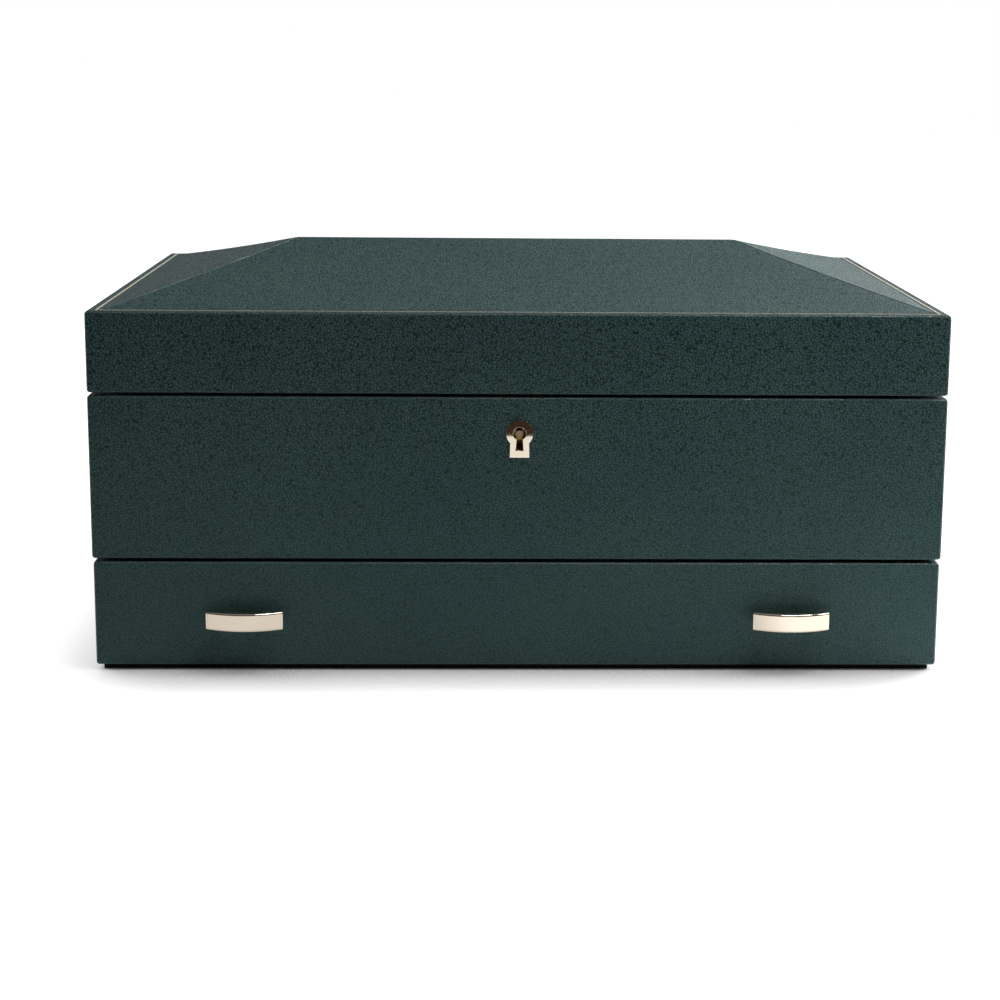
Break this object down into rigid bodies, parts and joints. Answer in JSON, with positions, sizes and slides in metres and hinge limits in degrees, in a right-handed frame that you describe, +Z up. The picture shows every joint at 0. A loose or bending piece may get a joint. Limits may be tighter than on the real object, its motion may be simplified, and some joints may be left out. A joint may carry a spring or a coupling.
{
  "type": "watch box with drawer",
  "caption": "Leather-covered watch box: hipped lid on stop hinges, box lock with keyhole plate, cushioned watch slots, and a drawer with bow pulls, ring rolls and trays",
  "frame": {"origin": "middle of the underside of the base pad, where the box stands", "axes": "+X to the right along the front, +Y to the back, +Z up; the drawer opens towards -Y"},
  "size_m": [0.38, 0.294, 0.183],
  "materials": {
    "leather": "dark green pebbled leather, satin",
    "gold_line": "tooled gold foil",
    "suede": "camel suede",
    "cushion_suede": "camel suede over soft padding",
    "pale_gold_plate": "polished pale gold plate",
    "brass": "brushed brass",
    "steel": "bright steel",
    "base_felt": "black felt",
    "glide": "smooth pale nylon strip",
    "board": "sanded fibreboard"
  },
  "bodies": {
    "case": {"base_pad": "base_felt", "bottom_board": "board", "case_back": "board", "case_front_board": "board", "case_leather": "leather", "case_lining": "suede", "case_screws": "brass", "case_side_left": "board", "case_side_right": "board", "column_divider_1": "suede", "column_divider_2": "suede", "column_divider_3": "suede", "column_divider_4": "suede", "deck_board": "board", "drawer_glides": "glide", "drawer_stops": "board", "escutcheon": "pale_gold_plate", "hinge_case_leaf_left": "brass", "hinge_case_leaf_right": "brass", "hinge_pins": "steel", "lock_case": "brass", "lock_cover": "brass", "lock_drill_pin": "steel", "row_divider_front": "suede", "row_divider_rear": "suede", "watch_cushions_front_row": "cushion_suede", "watch_cushions_middle_row": "cushion_suede", "watch_cushions_rear_row": "cushion_suede"},
    "lock_bolt_slide": {"lock_bolt": "brass", "bolt_spring": "steel"},
    "lid": {"lid_screws": "brass", "lid_rail_front": "board", "lid_rail_back": "board", "lid_rail_left": "board", "lid_rail_right": "board", "lid_roof_core": "board", "lid_panel_front": "leather", "lid_panel_back": "leather", "lid_panel_left": "leather", "lid_panel_right": "leather", "lid_leather_skirt": "leather", "lid_gold_line": "gold_line", "lid_lining": "suede", "lid_ceiling_pad": "cushion_suede", "strike_plate": "brass", "hinge_lid_leaf_left": "brass", "hinge_lid_leaf_right": "brass"},
    "drawer": {"drawer_front_board": "board", "drawer_front_leather": "leather", "drawer_side_left": "board", "drawer_side_right": "board", "drawer_back": "board", "drawer_bottom": "board", "drawer_lining": "suede", "drawer_dividers": "suede", "ring_rolls": "cushion_suede", "pull_screws": "steel", "drawer_pull_left": "pale_gold_plate", "drawer_pull_right": "pale_gold_plate"}
  },
  "joints": [
    {"name": "lid_hinge", "type": "hinge", "parent": "case", "child": "lid", "pos_m": [0, 0.1403, 0.12535], "axis": [-1, 0, 0], "range_deg": [0, 95]},
    {"name": "drawer_slide", "type": "slide", "parent": "case", "child": "drawer", "axis": [0, -1, 0], "range_m": [0, 0.185]},
    {"name": "bolt_slide", "type": "slide", "parent": "case", "child": "lock_bolt_slide", "axis": [1, 0, 0], "range_m": [0, 0.0045]}
  ]
}
